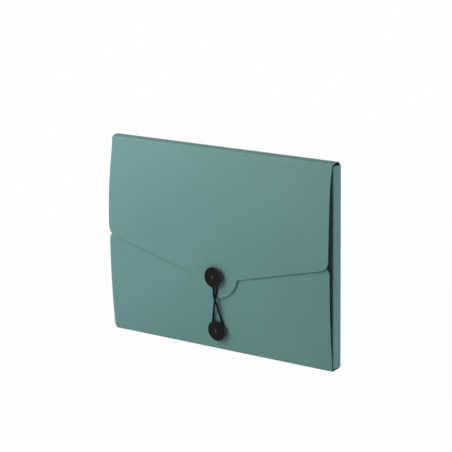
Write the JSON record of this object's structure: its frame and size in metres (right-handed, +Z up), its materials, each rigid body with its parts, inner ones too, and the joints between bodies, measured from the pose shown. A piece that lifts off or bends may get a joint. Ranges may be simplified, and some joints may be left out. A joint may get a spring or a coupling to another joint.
{
  "type": "three-flap folder",
  "caption": "Flat teal plastic document folder with folding inner flaps and a tongued cover flap, held shut by a black elastic loop twisted round riveted buttons.",
  "frame": {"origin": "middle of the underside of the bottom spine, on which the folder stands", "axes": "+X to the right along the width, +Y to the back, +Z up; the cover flap faces -Y"},
  "size_m": [0.32, 0.0336, 0.2418],
  "materials": {
    "sheet": "fine matt grain",
    "fold": "creased, matt",
    "disc": "satin black",
    "hub": "satin black",
    "rivet": "black, slightly glossy",
    "washer": "black",
    "cord": "covered elastic cord, black"
  },
  "bodies": {
    "back": {"back_panel": "sheet", "top_back_crease": "fold", "bottom_back_crease": "fold", "left_back_crease": "fold", "right_back_crease": "fold"},
    "top_spine": {"top_spine": "sheet", "top_front_crease": "fold"},
    "cover_flap": {"top_flap": "sheet", "upper_hub": "hub", "upper_rivet": "rivet", "upper_washer": "washer", "elastic_loop": "cord"},
    "upper_button_disc": {"upper_disc": "disc"},
    "bottom_spine": {"bottom_spine": "sheet", "bottom_front_crease": "fold"},
    "lower_flap": {"bottom_flap": "sheet", "lower_hub": "hub", "lower_rivet": "rivet", "lower_washer": "washer"},
    "lower_button_disc": {"lower_disc": "disc"},
    "left_wall": {"left_side_wall": "sheet", "left_front_crease": "fold"},
    "left_flap": {"left_inner_flap": "sheet"},
    "right_wall": {"right_side_wall": "sheet", "right_front_crease": "fold"},
    "right_flap": {"right_inner_flap": "sheet"}
  },
  "joints": [
    {"name": "top_flap_fold", "type": "hinge", "parent": "top_spine", "child": "cover_flap", "pos_m": [0, -0.0076, 0.2396], "axis": [-1, 0, 0], "range_deg": [0, 90]},
    {"name": "top_spine_fold", "type": "hinge", "parent": "back", "child": "top_spine", "pos_m": [0, 0.0076, 0.2396], "axis": [-1, 0, 0], "range_deg": [0, 90]},
    {"name": "bottom_spine_fold", "type": "hinge", "parent": "back", "child": "bottom_spine", "pos_m": [0, 0.0076, 0.0004], "axis": [1, 0, 0], "range_deg": [0, 90]},
    {"name": "bottom_flap_fold", "type": "hinge", "parent": "bottom_spine", "child": "lower_flap", "pos_m": [0, -0.01, 0.0004], "axis": [1, 0, 0], "range_deg": [0, 90]},
    {"name": "left_wall_fold", "type": "hinge", "parent": "back", "child": "left_wall", "pos_m": [-0.1596, 0.0076, 0.12], "axis": [0, 0, -1], "range_deg": [0, 90]},
    {"name": "left_flap_fold", "type": "hinge", "parent": "left_wall", "child": "left_flap", "pos_m": [-0.1596, -0.0069, 0.12], "axis": [0, 0, -1], "range_deg": [0, 90]},
    {"name": "right_wall_fold", "type": "hinge", "parent": "back", "child": "right_wall", "pos_m": [0.1596, 0.0076, 0.12], "axis": [0, 0, 1], "range_deg": [0, 90]},
    {"name": "right_flap_fold", "type": "hinge", "parent": "right_wall", "child": "right_flap", "pos_m": [0.1596, -0.0069, 0.12], "axis": [0, 0, 1], "range_deg": [0, 90]},
    {"name": "upper_disc_spin", "type": "hinge", "parent": "cover_flap", "child": "upper_button_disc", "pos_m": [0.0015, -0.01852, 0.0906], "axis": [0, -0.9999, -0.017], "continuous": true},
    {"name": "lower_disc_spin", "type": "hinge", "parent": "lower_flap", "child": "lower_button_disc", "pos_m": [0.0015, -0.0129, 0.0244], "axis": [0, -0.9959, -0.0904], "continuous": true}
  ],
  "couplings": [
    {"joint": "top_spine_fold", "follows": "top_flap_fold", "ratio": 1},
    {"joint": "bottom_spine_fold", "follows": "top_flap_fold", "ratio": 1},
    {"joint": "bottom_flap_fold", "follows": "top_flap_fold", "ratio": 1},
    {"joint": "left_wall_fold", "follows": "top_flap_fold", "ratio": 1},
    {"joint": "left_flap_fold", "follows": "top_flap_fold", "ratio": 1},
    {"joint": "right_wall_fold", "follows": "top_flap_fold", "ratio": 1},
    {"joint": "right_flap_fold", "follows": "top_flap_fold", "ratio": 1}
  ]
}
